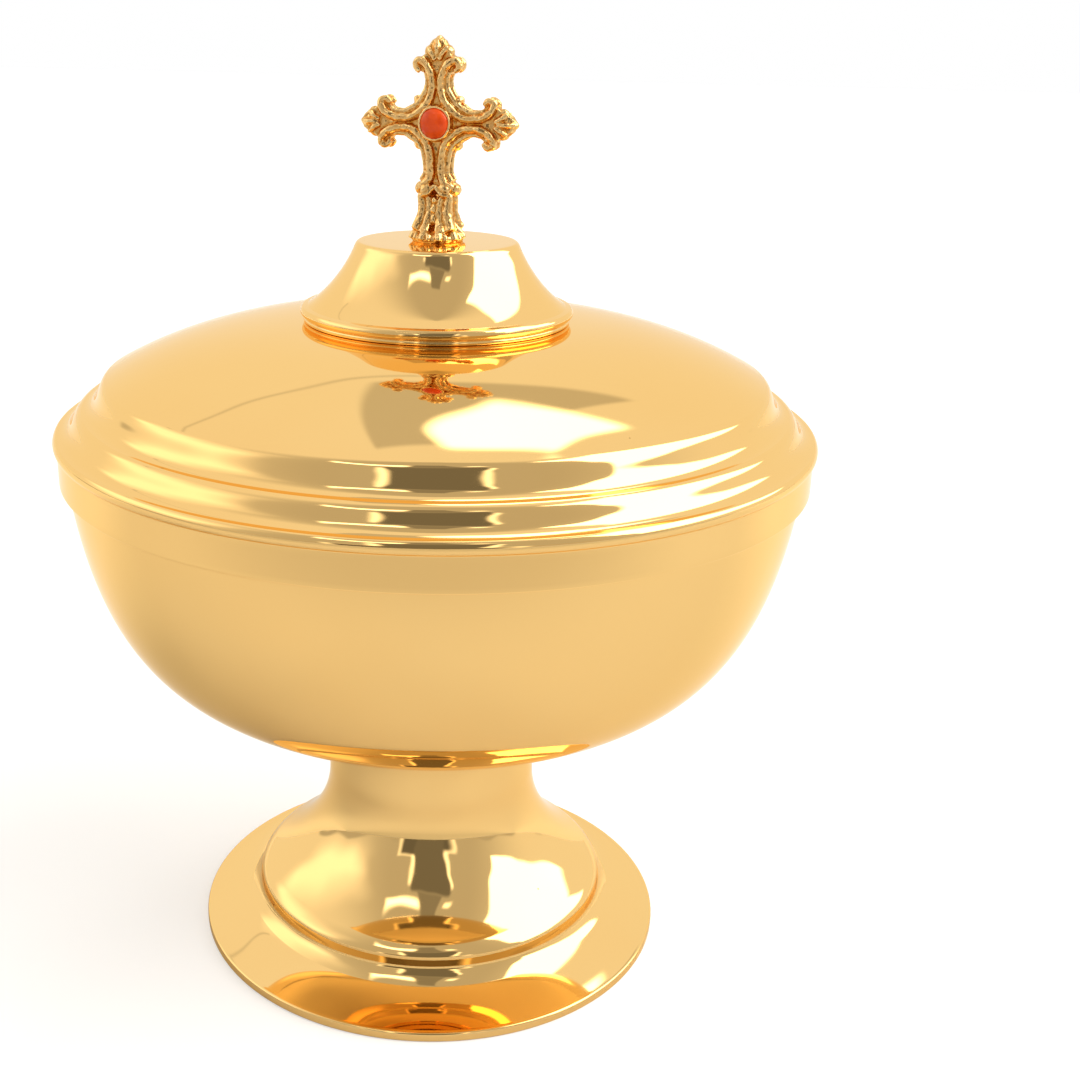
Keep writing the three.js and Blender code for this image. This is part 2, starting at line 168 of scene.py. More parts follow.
def make_camera():
    data = bpy.data.cameras.new("camera")
    camera = bpy.data.objects.new("camera", data)
    bpy.context.scene.collection.objects.link(camera)
    bpy.context.scene.camera = camera
    data.lens = CAMERA_LENS
    data.sensor_width = SENSOR_WIDTH
    data.shift_x = 0.5 - AXIS_COLUMN / IMAGE_WIDTH
    data.clip_start = 0.01
    data.clip_end = 50
    side, back = math.sin(CAMERA_AZIMUTH), -math.cos(CAMERA_AZIMUTH)
    camera.location = (
        CAMERA_DISTANCE * side * MM,
        CAMERA_DISTANCE * back * MM,
        CAMERA_HEIGHT * MM,
    )
    level = math.cos(CAMERA_PITCH)
    look = Vector((-side * level, -back * level, -math.sin(CAMERA_PITCH)))
    roll = Quaternion((0, 0, 1), CAMERA_ROLL)
    camera.rotation_mode = "QUATERNION"
    camera.rotation_quaternion = look.to_track_quat("-Z", "Y") @ roll
    bpy.context.scene.view_settings.view_transform = "Standard"


# Shader helpers


class Tree:
    """Adds and joins the shader nodes of one material or world."""

    def __init__(self, owner):
        owner.use_nodes = True
        self.nodes = owner.node_tree.nodes
        self.links = owner.node_tree.links
        self.nodes.clear()

    def add(self, kind, inputs=None, **settings):
        node = self.nodes.new(kind)
        for name, value in settings.items():
            setattr(node, name, value)
        for name, value in (inputs or {}).items():
            if isinstance(value, bpy.types.NodeSocket):
                self.links.new(value, node.inputs[name])
            else:
                node.inputs[name].default_value = value
        return node

    def math(self, operation, *values):
        return self.add("ShaderNodeMath", dict(enumerate(values)), operation=operation).outputs[0]

    def vector(self, operation, *values):
        inputs = dict(enumerate(values))
        return self.add("ShaderNodeVectorMath", inputs, operation=operation).outputs

    def fade(self, value, start, end):
        """Goes smoothly from 0 at start to 1 at end."""
        inputs = {"Value": value, "From Min": start, "From Max": end}
        node = self.add("ShaderNodeMapRange", inputs, interpolation_type="SMOOTHSTEP")
        return node.outputs[0]

    def blend(self, share, a, b):
        return self.add("ShaderNodeMix", {0: share, 2: a, 3: b}).outputs[0]

    def tint(self, share, a, b):
        inputs = {0: share, 6: a, 7: b}
        return self.add("ShaderNodeMix", inputs, data_type="RGBA").outputs[2]

    def noise(self, scale, detail=2.0, vector=None, roughness=0.5):
        inputs = {"Scale": scale, "Detail": detail, "Roughness": roughness}
        if vector is not None:
            inputs["Vector"] = vector
        return self.add("ShaderNodeTexNoise", inputs)


# Studio


class Sky:
    """The room round the object as brightness by direction, in degrees.

    Azimuth is 0 towards the camera's side and grows to the right of it.
    """

    def __init__(self, tree):
        self.tree = tree
        direction = tree.add("ShaderNodeTexCoord").outputs["Generated"]
        wobble = tree.noise(ROOM_WAVES, 0.6, direction)
        shift = tree.vector("SUBTRACT", wobble.outputs["Color"], (0.5, 0.5, 0.5))[0]
        bent = tree.vector("MULTIPLY_ADD", shift, (ROOM_WAVE_REACH,) * 3, direction)[0]
        self.level = 0.0
        self.straight = self.angles(direction)
        self.wavy = self.angles(bent)

    def angles(self, direction):
        tree = self.tree
        unit = tree.vector("NORMALIZE", direction)[0]
        axes = tree.add("ShaderNodeSeparateXYZ", {0: unit}).outputs
        turn = tree.math("ARCTAN2", axes[0], tree.math("MULTIPLY", axes[1], -1.0))
        azimuth = tree.math("DEGREES", tree.math("SUBTRACT", turn, CAMERA_AZIMUTH))
        elevation = tree.math("DEGREES", tree.math("ARCSINE", axes[2]))
        return azimuth, elevation

    def patch(self, level, azimuth, elevation, soft=2.0, wavy=True, lean=0.0):
        """A soft rectangle of that brightness between two azimuths and two elevations.

        The lean moves its azimuths by that many degrees for each degree of elevation.
        """
        tree = self.tree
        az, el = self.wavy if wavy else self.straight
        if lean:
            rise = tree.math("SUBTRACT", el, (elevation[0] + elevation[1]) / 2)
            az = tree.math("SUBTRACT", az, tree.math("MULTIPLY", rise, lean))
        mask = 1.0
        for value, (low, high), wraps in ((az, azimuth, True), (el, elevation, False)):
            off = tree.math("SUBTRACT", value, (low + high) / 2)
            if wraps:
                off = tree.math("WRAP", off, 180.0, -180.0)
            reach = (high - low) / 2
            edge = tree.fade(tree.math("ABSOLUTE", off), reach + soft, reach - soft)
            mask = tree.math("MULTIPLY", edge, mask)
        self.level = tree.blend(mask, self.level, level)


def make_world():
    world = bpy.data.worlds.new("studio")
    bpy.context.scene.world = world
    tree = Tree(world)
    sky = Sky(tree)
    turned_away = tree.math("ABSOLUTE", sky.straight[0])
    sky.level = tree.blend(tree.fade(turned_away, 35.0, 105.0), ROOM_FRONT, ROOM_BACK)
    # Horizon, and a thin line high up behind
    sky.patch(0.55, (-125, 125), (-4.0, 0.5), soft=1.5)
    sky.patch(0.68, (182, 238), (37.6, 38.3), soft=0.7)
    # Faint light on the left and strong light on the right
    sky.patch(1.6, (-112, -64), (10, 38), soft=12.0)
    sky.patch(4.2, (56, 122), (18, 64), soft=1.5)
    # Leaning dim field behind, with light beside it
    sky.patch(0.64, (162, 193), (38, 67), soft=1.0, wavy=False, lean=0.45)
    sky.patch(4.2, (146, 172), (49, 65), soft=2.0)
    # Lights high in front and on the far left
    sky.patch(3.6, (-44, -8), (50, 58), soft=3.0)
    sky.patch(2.5, (14, 20), (49, 53), soft=2.0)
    sky.patch(1.6, (-124, -96), (20, 34), soft=6.0)
    # Bright margins round the dim fields in front
    sky.patch(1.5, (-33, 25), (-6, 14), soft=2.0)
    sky.patch(2.2, (-17, 19), (10, 40), soft=2.0)
    # Dim fields in front
    sky.patch(0.16, (-30, 21), (-8, 12), soft=3.0)
    sky.patch(0.20, (-14, 16), (-20, 44), soft=2.0)
    sky.patch(0.30, (-7, 8), (44, 64), soft=1.5)
    light_path = tree.add("ShaderNodeLightPath")
    room = tree.add("ShaderNodeBackground", {"Color": ROOM_COLOR, "Strength": sky.level})
    backdrop = tree.add("ShaderNodeBackground", {"Color": (1, 1, 1, 1), "Strength": 1.0})
    shown = tree.add(
        "ShaderNodeMixShader",
        {0: light_path.outputs["Is Camera Ray"], 1: room.outputs[0], 2: backdrop.outputs[0]},
    )
    tree.add("ShaderNodeOutputWorld", {0: shown.outputs[0]})


def make_floor():
    mesh = bpy.data.meshes.new("floor")
    signs = ((-1, -1), (1, -1), (1, 1), (-1, 1))
    corners = [(x * FLOOR_REACH * MM, y * FLOOR_REACH * MM, 0) for x, y in signs]
    mesh.from_pydata(corners, [], [(0, 1, 2, 3)])
    floor = bpy.data.objects.new("floor", mesh)
    bpy.context.scene.collection.objects.link(floor)
    material = bpy.data.materials.new("floor")
    tree = Tree(material)
    light_path = tree.add("ShaderNodeLightPath")
    place = tree.add("ShaderNodeTexCoord").outputs["Object"]
    toward = (math.sin(CAMERA_AZIMUTH), -math.cos(CAMERA_AZIMUTH), 0.0)
    ahead = tree.vector("DOT_PRODUCT", place, toward)["Value"]
    # Painted shade darkens the floor in front of the object, towards the camera
    shaded = tree.fade(ahead, 0.08, 0.30)
    color = tree.tint(shaded, FLOOR_COLOR, FLOOR_PAINTED_SHADE_AHEAD)
    paper = tree.add("ShaderNodeBsdfDiffuse", {"Color": color})
    to_camera = light_path.outputs["Is Camera Ray"]
    to_metal = light_path.outputs["Is Glossy Ray"]
    # Painted light: the floor glows for glossy rays behind and beside the object, and not in front
    reflected = tree.blend(tree.fade(ahead, -0.10, 0.02), FLOOR_GLOW, 0.0)
    glow = tree.math("MULTIPLY", to_metal, reflected)
    strength = tree.math("MULTIPLY_ADD", to_camera, FLOOR_LIFT, glow)
    lift = tree.add("ShaderNodeEmission", {"Strength": strength})
    both = tree.add("ShaderNodeAddShader", {0: paper.outputs[0], 1: lift.outputs[0]})
    tree.add("ShaderNodeOutputMaterial", {0: both.outputs[0]})
    mesh.materials.append(material)


def make_lamp():
    data = bpy.data.lights.new("softbox", "AREA")
    data.shape = "RECTANGLE"
    data.size = 1.2
    data.size_y = 0.9
    data.energy = 9
    lamp = bpy.data.objects.new("softbox", data)
    bpy.context.scene.collection.objects.link(lamp)
    lamp.location = (1.1, -0.35, 1.2)
    lamp.rotation_mode = "QUATERNION"
    lamp.rotation_quaternion = (-Vector(lamp.location)).to_track_quat("-Z", "Y")
    lamp.visible_glossy = False
    lamp.visible_camera = False


# Materials


def metal(name, color, roughness, relief):
    """A metal whose three functions give its colour, roughness and relief."""
    material = bpy.data.materials.new(name)
    tree = Tree(material)
    shader = tree.add("ShaderNodeBsdfPrincipled", {"Metallic": 1.0, "Specular Tint": METAL_EDGE})
    tree.add("ShaderNodeOutputMaterial", {0: shader.outputs[0]})
    place = tree.add("ShaderNodeTexCoord").outputs["Object"]
    makers = {"Base Color": color, "Roughness": roughness, "Normal": relief}
    for socket, make in makers.items():
        tree.links.new(make(tree, place), shader.inputs[socket])
    return material


def bump(tree, height, distance, **inputs):
    """A bump whose height stands for that many millimetres."""
    values = {"Height": height, "Strength": 1.0, "Distance": distance * MM, **inputs}
    return tree.add("ShaderNodeBump", values).outputs[0]


def sheet_color(tree, place):
    """Even gilding with a slightly deeper cloudiness and a few tiny pits."""
    cloud = tree.fade(tree.noise(22.0, 3.0, place).outputs["Fac"], 0.35, 0.75)
    base = tree.tint(cloud, GILT, GILT_CLOUD)
    pits = tree.add("ShaderNodeTexVoronoi", {"Vector": place, "Scale": 130.0})
    near = tree.fade(pits.outputs["Distance"], 0.028, 0.014)
    chance = tree.add("ShaderNodeSeparateColor", {0: pits.outputs["Color"]}).outputs[0]
    rare = tree.fade(chance, 0.972, 0.974)
    return tree.tint(tree.math("MULTIPLY", near, rare), base, GILT_PIT)


def sheet_roughness(tree, place):
    """Mirror polish with faint smears."""
    smear = tree.noise(45.0, 5.0, place, 0.6).outputs["Fac"]
    return tree.blend(tree.fade(smear, 0.45, 0.8), 0.035, 0.075)


def sheet_relief(tree, place):
    """Slow unevenness of hand-polished sheet, and fine rings left by spinning."""
    slow = tree.noise(38.0, 1.5, place).outputs["Fac"]
    dents = bump(tree, slow, SHEET_DENTS)
    height = tree.add("ShaderNodeSeparateXYZ", {0: place}).outputs[2]
    stretched = tree.add("ShaderNodeCombineXYZ", {2: tree.math("MULTIPLY", height, 900.0)})
    rings = tree.noise(1.0, 1.0, stretched.outputs[0]).outputs["Fac"]
    return bump(tree, rings, SPINNING_RINGS, Normal=dents)


def high_points(tree):
    """Goes from 0 in the hollows of the casting to 1 on its high points."""
    shade = tree.add("ShaderNodeNewGeometry").outputs["Pointiness"]
    return tree.fade(shade, 0.44, 0.57)


def casting_color(tree, place):
    """Gilding with painted shade: bright on the high points of the casting, a deeper orange in its
    hollows, with a random grain.
    """
    grain = tree.noise(900.0, 3.0, place).outputs["Fac"]
    uneven = tree.math("SUBTRACT", grain, 0.5)
    # Painted shade: the casting's pointiness turns its hollows a deeper orange, mixed with a random
    # grain
    grain_and_painted_shade = tree.math("MULTIPLY_ADD", uneven, 0.35, high_points(tree))
    return tree.tint(grain_and_painted_shade, CAST_PAINTED_SHADE, CAST_HIGH)


def casting_roughness(tree, place):
    return tree.blend(high_points(tree), 0.20, 0.06)


def casting_relief(tree, place):
    return bump(tree, tree.noise(1400.0, 4.0, place).outputs["Fac"], CAST_GRAIN)


def brass_color(tree, place):
    stain = tree.fade(tree.noise(120.0, 4.0, place).outputs["Fac"], 0.4, 0.7)
    return tree.tint(stain, BRASS, BRASS_STAIN)


def brass_roughness(tree, place):
    return tree.blend(tree.noise(300.0, 3.0, place).outputs["Fac"], 0.25, 0.42)


def brass_relief(tree, place):
    return bump(tree, tree.noise(2500.0, 2.0, place).outputs["Fac"], BRASS_TOOLING)


def stone_material():
    material = bpy.data.materials.new("red_stone_finish")
    tree = Tree(material)
    place = tree.add("ShaderNodeTexCoord").outputs["Object"]
    veins = tree.fade(tree.noise(700.0, 4.0, place).outputs["Fac"], 0.45, 0.7)
    color = tree.tint(veins, STONE, STONE_VEIN)
    shader = tree.add(
        "ShaderNodeBsdfPrincipled",
        {"Base Color": color, "Roughness": 0.2, "IOR": 1.5, "Specular IOR Level": 0.3},
    )
    tree.add("ShaderNodeOutputMaterial", {0: shader.outputs[0]})
    return material


GILT_SHEET = metal("gilt_sheet_finish", sheet_color, sheet_roughness, sheet_relief)
GILT_CASTING = metal("gilt_casting_finish", casting_color, casting_roughness, casting_relief)
PLAIN_BRASS = metal("plain_brass_finish", brass_color, brass_roughness, brass_relief)
RED_STONE = stone_material()


# Outlines of turned pieces, as (radius, height) in millimetres


def curve(start, pull_start, pull_end, end, steps):
    """Points along a cubic curve, without its first point."""
    points = []
    for i in range(1, steps + 1):
        t = i / steps
        u = 1 - t
        points.append(tuple(
            u**3 * a + 3 * u * u * t * b + 3 * u * t * t * c + t**3 * d
            for a, b, c, d in zip(start, pull_start, pull_end, end)
        ))
    return points


def corner(start, tip, end, steps):
    """Points round a corner, without the first point."""
    points = []
    for i in range(1, steps + 1):
        t = i / steps
        u = 1 - t
        points.append(tuple(
            u * u * a + 2 * u * t * b + t * t * c for a, b, c in zip(start, tip, end)
        ))
    return points


def inset(line, thickness):
    """The line moved to its left by the thickness, mitred at each corner."""
    def left(a, b):
        return Vector((a[1] - b[1], b[0] - a[0])).normalized()

    moved = []
    for i, point in enumerate(line):
        before = left(line[i - 1], point) if i > 0 else left(point, line[1])
        after = left(point, line[i + 1]) if i < len(line) - 1 else before
        mitre = (before + after).normalized()
        x, z = Vector(point) + mitre * (thickness / mitre.dot(before))
        moved.append((0.0 if point[0] == 0 else x, z))
    return moved


def soften(outline, radius, bend=math.radians(9), steps=5):
    """Rounds each corner that turns by more than the bend."""
    soft = []
    closed = outline[0] == outline[-1]
    points = [Vector(p) for p in (outline[:-1] if closed else outline)]
    count = len(points)
    for i, point in enumerate(points):
        if not closed and i in (0, count - 1):
            soft.append(tuple(point))
            continue
        before, after = points[i - 1], points[(i + 1) % count]
        turn = (point - before).angle(after - point)
        if turn < bend:
            soft.append(tuple(point))
            continue
        reach = radius * math.tan(turn / 2)
        near = min(reach, 0.45 * (point - before).length)
        far = min(reach, 0.45 * (after - point).length)
        start = point + (before - point).normalized() * near
        end = point + (after - point).normalized() * far
        soft.append(tuple(start))
        soft.extend(corner(start, point, end, steps))
    if closed:
        soft.append(soft[0])
    return soft


def dense(outline, step=SHELL_STEP):
    """The same outline with no stretch longer than the step."""
    points = [outline[0]]
    for a, b in zip(outline, outline[1:]):
        parts = max(1, math.ceil(math.dist(a, b) / step))
        for i in range(1, parts + 1):
            t = i / parts
            points.append((a[0] + (b[0] - a[0]) * t, a[1] + (b[1] - a[1]) * t))
    return points


def link(name, mesh, material, body, *nodes):
    """A shown piece that rides on a body and stands for CAD nodes."""
    piece = bpy.data.objects.new(name, mesh)
    bpy.context.scene.collection.objects.link(piece)
    mesh.materials.append(material)
    mesh.shade_smooth()
    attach(piece, body)
    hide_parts(*nodes)


def turned_mesh(name, outline, sides):
    """A closed mesh from an outline that closes on itself or runs from axis to axis."""
    closed = outline[0] == outline[-1]
    rings = outline[:-1] if closed else outline
    turns = [2 * math.pi * i / sides for i in range(sides)]
    vertices, starts = [], []
    for radius, height in rings:
        starts.append(len(vertices))
        if radius == 0:
            vertices.append((0, 0, height * MM))
        else:
            for a in turns:
                across = radius * MM
                vertices.append((across * math.cos(a), across * math.sin(a), height * MM))
    faces = []
    for k in range(len(rings) if closed else len(rings) - 1):
        low, high = k, (k + 1) % len(rings)
        for i in range(sides):
            j = (i + 1) % sides
            a, b = starts[low], starts[high]
            if rings[low][0] == 0:
                faces.append((a, b + j, b + i))
            elif rings[high][0] == 0:
                faces.append((a + i, a + j, b))
            else:
                faces.append((a + i, a + j, b + j, b + i))
    mesh = bpy.data.meshes.new(name)
    mesh.from_pydata(vertices, [], faces)
    return mesh


# Cup and foot


def node_box(node):
    """Lowest and highest corner of a CAD node, in millimetres."""
    low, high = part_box(node)
    return [c / MM for c in low], [c / MM for c in high]


def foot_outline():
    foot_radius, _, foot_top = node_box("foot_shell")[1]
    crest_radius = NECK_RADIUS + NECK_WAIST
    seat_radius = crest_radius - CREST_WIDTH
    seat_top = foot_top - SEAT_DEPTH
    hole = node_box("foot_washer")[1][0] / 3 + STUD_HOLE_CLEARANCE

    rim = (foot_radius - RIM_ROUND, RIM_HEIGHT)
    crease = (foot_radius - FLANGE_WIDTH, RIM_HEIGHT + FLANGE_RISE)
    dish = (foot_radius - 0.65 * FLANGE_WIDTH, RIM_HEIGHT + 0.38 * FLANGE_RISE)
    band_low = (crease[0] - COVE_WIDTH, crease[1] + COVE_HEIGHT)
    band_high = (band_low[0], band_low[1] + BAND_HEIGHT)
    bell = (band_high[0] - ROLL_WIDTH, band_high[1] + ROLL_HEIGHT)
    neck_base = bell[1] + BELL_HEIGHT
    neck_height = foot_top - neck_base
    run = bell[0] - NECK_RADIUS
    side = [
        rim,
        *corner(rim, dish, crease, 32),
        *curve(
            crease,
            (crease[0] - 0.53 * COVE_WIDTH, crease[1] + 0.34 * COVE_HEIGHT),
            (band_low[0] + 0.04 * COVE_WIDTH, band_low[1] - 0.32 * COVE_HEIGHT),
            band_low,
            24,
        ),
        band_high,
        *curve(
            band_high,
            (band_high[0] - 0.02 * ROLL_WIDTH, band_high[1] + 0.22 * ROLL_HEIGHT),
            (bell[0] + 0.56 * ROLL_WIDTH, bell[1] - 0.37 * ROLL_HEIGHT),
            bell,
            24,
        ),
        *curve(
            bell,
            (bell[0] - 0.5 * run, bell[1] + 0.36 * run),
            (NECK_RADIUS, neck_base - 0.78 * run),
            (NECK_RADIUS, neck_base),
            64,
        ),
        *curve(
            (NECK_RADIUS, neck_base),
            (NECK_RADIUS, neck_base + 0.12 * neck_height),
            (NECK_RADIUS - NECK_WAIST, neck_base + 0.25 * neck_height),
            (NECK_RADIUS - NECK_WAIST, neck_base + 0.45 * neck_height),
            8,
        ),
    ]
    low_crest = foot_top - CREST_ROUND
    rolled = [
        (crest_radius, low_crest),
        *corner((crest_radius, low_crest), (crest_radius, foot_top),
                (crest_radius - CREST_ROUND, foot_top), 8),
        *corner((seat_radius + CREST_ROUND, foot_top), (seat_radius, foot_top),
                (seat_radius, low_crest), 8),
    ]
    square = [(crest_radius, foot_top), (seat_radius, foot_top)]
    seat = [(seat_radius, seat_top), (hole, seat_top)]
    fold_radius = foot_radius - RIM_FOLD
    inner = [p for p in inset(side + square + seat, FOOT_SHEET) if p[0] < fold_radius]
    fold = [(fold_radius, 0.0), (foot_radius - RIM_ROUND, 0.0)]
    edge = corner(fold[1], (foot_radius, 0.0), (foot_radius, RIM_ROUND), 6)
    edge += [(foot_radius, RIM_HEIGHT - RIM_ROUND)]
    edge += corner(edge[-1], (foot_radius, RIM_HEIGHT), rim, 6)
    return side + rolled + seat + inner[::-1] + fold + edge


def bowl_outline():
    low, high = node_box("bowl_shell")
    radius, base, rim = high[0], low[2], high[2]
    depth = rim - base - BOWL_WALL
    side = [
        (0.0, base),
        *curve(
            (0.0, base),
            (0.63 * radius, base),
            (0.925 * radius, base + 0.09 * depth),
            (radius, base + depth),
            120,
        ),
        (radius, rim),
    ]
    return side + inset(side, BOWL_SHEET)[::-1]


def shell(name, outline, body, round_off=0.25):
    mesh = turned_mesh(name, dense(soften(outline, round_off)), SHELL_SIDES)
    link(name, mesh, GILT_SHEET, body, name.removesuffix("_spun"))


def make_cup():
    shell("foot_shell_spun", foot_outline(), "cup")
    shell("bowl_shell_spun", bowl_outline(), "cup", round_off=0.45)


# Lid and the finial's base


def dome_height(radius, edge, top, edge_radius):
    return top - (top - edge) * (radius / edge_radius) ** DOME_POWER


def arc_bead(radius, low, high, proud, steps=12, power=0.6):
    """A bead on a wall, from its lower to its upper edge. A lower power makes it fuller."""
    points = []
    for i in range(steps + 1):
        share = i / steps
        bulge = proud * math.sin(math.pi * share) ** power
        points.append((radius + bulge, low + (high - low) * share))
    return points


def lid_step(start, end):
    """One step of the lid: a flat tread that sweeps up into a round riser."""
    width, rise = start[0] - end[0], end[1] - start[1]
    tread_pull = (start[0] - 0.76 * width, start[1] + 0.03 * rise)
    riser_pull = (start[0] - 0.56 * width, start[1] + 0.84 * rise)
    return curve(start, tread_pull, riser_pull, end, 24)


def lid_outline():
    low, high = node_box("lid_shell")
    skirt_radius = high[0] - BEAD_PROUD
    ledge_top = low[2] + SKIRT_DEPTH + LID_SHEET
    lower_radius = skirt_radius - LOWER_STEP_WIDTH
    dome_radius = lower_radius - UPPER_STEP_WIDTH
    lower_top = ledge_top + LOWER_STEP_HEIGHT
    dome_edge = lower_top + UPPER_STEP_HEIGHT
    hole = node_box("finial_stud")[1][0] + STUD_HOLE_CLEARANCE
    ledge = (skirt_radius, ledge_top)
    steps = 90
    dome = []
    for i in range(1, steps + 1):
        radius = dome_radius + (hole - dome_radius) * i / steps
        dome.append((radius, dome_height(radius, dome_edge, high[2] + DOME_LIFT, dome_radius)))
    top = [
        ledge,
        *lid_step(ledge, (lower_radius, lower_top)),
        *lid_step((lower_radius, lower_top), (dome_radius, dome_edge)),
        *dome,
    ]
    skirt_foot = (skirt_radius, low[2])
    bead = arc_bead(skirt_radius, ledge_top - BEAD_HEIGHT, ledge_top, BEAD_PROUD, 16, 0.7)
    inner = inset([skirt_foot] + top, LID_SHEET)[::-1]
    return [skirt_foot] + bead[:-1] + top + inner + [skirt_foot]


def finial_base_outline():
    low, high = node_box("finial_base")
    radius = high[0] - FLARE_BEAD_PROUD
    base, top = low[2], high[2]
    hole = node_box("finial_stud")[1][0] + STUD_HOLE_CLEARANCE
    start = (radius - FLARE_SHOULDER, base + FLARE_BEAD_HEIGHT)
    end = (FLARE_TOP_RADIUS + 0.4 * FLARE_TOP_ROUND, top - FLARE_TOP_ROUND)
    rise, run = end[1] - start[1], start[0] - end[0]
    flare = [
        start,
        *curve(
            start,
            (start[0] - 0.25 * run, start[1] + 0.12 * rise),
            (end[0] + 0.27 * run, start[1] + 0.49 * rise),
            end,
            40,
        ),
        *corner(end, (FLARE_TOP_RADIUS, top), (FLARE_TOP_RADIUS - 0.6 * FLARE_TOP_ROUND, top), 8),
        (hole, top),
    ]
    parting = base + FLARE_SMALL_BEAD * FLARE_BEAD_HEIGHT
    small_bead = arc_bead(radius, base, parting, FLARE_SMALL_BEAD * FLARE_BEAD_PROUD)
    bead = arc_bead(radius, parting, start[1], FLARE_BEAD_PROUD)
    inner = inset([(radius, base)] + flare, FLARE_SHEET)
    inner[0] = (inner[0][0], base)
    return small_bead + bead[1:-1] + flare + inner[::-1] + [small_bead[0]]


def make_lid():
    shell("lid_shell_spun", lid_outline(), "lid")
    shell("finial_base_spun", finial_base_outline(), "lid", round_off=0.15)


# Cast cross, in millimetres from the middle of its arms, with its front towards -Y


def circle(radius, count):
    """Points round a circle, as (x, z)."""
    turns = [2 * math.pi * i / count for i in range(count)]
    return [(radius * math.cos(turn), radius * math.sin(turn)) for turn in turns]


def slab(outline, depth):
    """A flat plate of that outline, as thick as twice the depth."""
    count = len(outline)
    vertices = [(x, y, z) for y in (-depth, depth) for x, z in outline]
    faces = [tuple(range(count)), tuple(range(2 * count - 1, count - 1, -1))]
    for i in range(count):
        j = (i + 1) % count
        faces.append((i, count + i, count + j, j))
    return vertices, faces


def cord(path, radii, sides=10):
    """A round rod through points (x, y, z), with a radius for each."""
    points = [Vector(p) for p in path]
    smooth, widths = [], []
    for i in range(len(points) - 1):
        before = points[max(i - 1, 0)]
        after = points[min(i + 2, len(points) - 1)]
        pull_start = (points[i + 1] - before) / 6
        pull_end = (after - points[i]) / 6
        for k in range(5):
            t = k / 5
            u = 1 - t
            smooth.append(
                u**3 * points[i]
                + 3 * u * u * t * (points[i] + pull_start)
                + 3 * u * t * t * (points[i + 1] - pull_end)
                + t**3 * points[i + 1]
            )
            widths.append(radii[i] * u + radii[i + 1] * t)
    smooth.append(points[-1])
    widths.append(radii[-1])
    vertices, faces = [], []
    for i, point in enumerate(smooth):
        along = smooth[min(i + 1, len(smooth) - 1)] - smooth[max(i - 1, 0)]
        across = along.orthogonal().normalized() if i == 0 else across
        across = (across - across.project(along)).normalized()
        third = along.normalized().cross(across)
        for k in range(sides):
            angle = 2 * math.pi * k / sides
            vertices.append(point + widths[i] * (math.cos(angle) * across + math.sin(angle) * third))
    for i in range(len(smooth) - 1):
        for k in range(sides):
            a, b = i * sides + k, i * sides + (k + 1) % sides
            faces.append((a, b, b + sides, a + sides))
    last = len(vertices) - sides
    faces.append(tuple(range(sides - 1, -1, -1)))
    faces.append(tuple(range(last, last + sides)))
    return vertices, faces


def lump(center, reach, lean=0.0, sides=16):
    """An egg of three half sizes, leaning about the Y axis."""
    rows = sides // 2
    turn = Quaternion((0, 1, 0), lean)
    vertices = [Vector((0, 0, -reach[2]))]
    for i in range(1, rows):
        rise = math.pi * i / rows
        for k in range(sides):
            angle = 2 * math.pi * k / sides
            vertices.append(Vector((
                reach[0] * math.sin(rise) * math.cos(angle),
                reach[1] * math.sin(rise) * math.sin(angle),
                -reach[2] * math.cos(rise),
            )))
    vertices.append(Vector((0, 0, reach[2])))
    vertices = [Vector(center) + turn @ v for v in vertices]
    top = len(vertices) - 1
    faces = []
    for k in range(sides):
        j = (k + 1) % sides
        faces.append((0, 1 + j, 1 + k))
        faces.append((top, top - sides + k, top - sides + j))
        for i in range(rows - 2):
            a = 1 + i * sides
            faces.append((a + k, a + j, a + sides + j, a + sides + k))
    return vertices, faces


def arm_half():
    """Half width of an arm's plate along the arm."""
    return [(3.0, 1.5), (6.6, 1.5), (7.6, 2.6), (8.7, 3.2), (9.5, 2.6), (10.2, 1.7), (12.0, 0.9)]


def cross_plate():
    """The thin plate behind the ribs, as one outline."""
    half = arm_half()
    shaft = [(1.7, -4.2), (1.6, -8.0), (2.6, -9.8), (2.3, -11.5), (2.5, -14.0), (3.2, -16.5)]
    right = [(x, -w) for x, w in half] + [(x, w) for x, w in reversed(half)]
    top = [(w, z * TOP_LENGTH / ARM_LENGTH) for z, w in half]
    side = shaft[::-1] + right + top
    return side + [(-x, z) for x, z in reversed(side)]


# Ribs in one quarter of the cross, as (along the arm, across it, depth, radius)
ARM_RIB = [
    (7.5, 2.7, 0.9, 0.45), (8.2, 3.4, 1.0, 0.55), (9.0, 2.9, 1.1, 0.62),
    (8.5, 1.7, 1.3, 0.66), (7.0, 0.85, 1.35, 0.62), (5.5, 0.68, 1.3, 0.60),
    (4.2, 0.82, 1.3, 0.62), (3.1, 1.35, 1.35, 0.66), (2.15, 2.15, 1.4, 0.68),
]
ARM_EDGE = [
    (7.4, 1.9, 0.95, 0.30), (6.2, 1.55, 0.95, 0.42), (4.9, 1.7, 0.95, 0.45),
    (3.7, 2.4, 0.95, 0.45), (2.95, 2.95, 0.95, 0.40),
]

# Ribs beside the shaft and its neck, as (across, down, depth, radius)
SHAFT_RIB = [
    (2.15, 2.15, 1.4, 0.68), (1.45, 3.1, 1.35, 0.68), (1.0, 4.4, 1.3, 0.70),
    (0.9, 6.2, 1.3, 0.72), (0.95, 7.8, 1.3, 0.72), (1.6, 8.9, 1.35, 0.66),
    (2.6, 9.5, 1.0, 0.50),
]
SHAFT_EDGE = [
    (2.95, 2.95, 0.9, 0.40), (2.25, 4.0, 0.9, 0.42), (1.9, 5.4, 0.9, 0.42),
    (1.8, 7.2, 0.9, 0.42), (2.5, 8.6, 0.9, 0.35),
]
NECK_RIB = [
    (2.3, 10.4, 1.2, 0.55), (2.1, 11.6, 1.35, 0.72), (2.0, 13.0, 1.5, 0.78),
    (2.3, 14.6, 1.8, 0.85), (2.9, 15.9, 2.4, 0.8),
]


